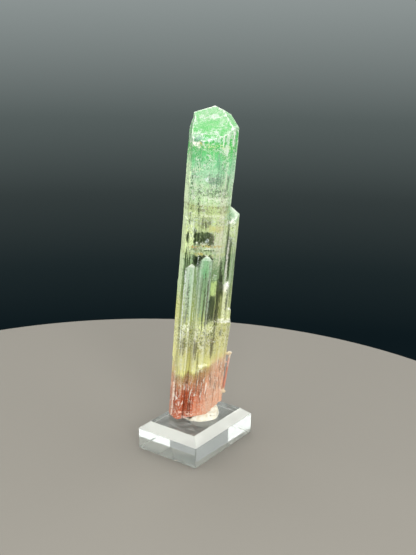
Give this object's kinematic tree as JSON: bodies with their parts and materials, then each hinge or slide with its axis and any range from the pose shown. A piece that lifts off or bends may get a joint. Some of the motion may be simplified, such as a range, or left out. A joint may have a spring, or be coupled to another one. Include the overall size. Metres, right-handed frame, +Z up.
{
  "type": "watermelon tourmaline crystal on acrylic base",
  "caption": "Tall striated tourmaline prism, green at its faceted tip, yellow-green in the middle and pink at the foot, set in putty on a bevelled clear block.",
  "frame": {"origin": "centre of the underside of the acrylic base", "axes": "+Z up along the specimen's height, +Y along the base's long side, +X along its short side"},
  "size_m": [0.025, 0.034, 0.118],
  "materials": {
    "clear_acrylic": "polished",
    "putty": "matte",
    "tourmaline": "polished"
  },
  "bodies": {
    "root": {"acrylic_base": "clear_acrylic", "mounting_putty": "putty", "tourmaline_crystal": "tourmaline"}
  },
  "joints": []
}
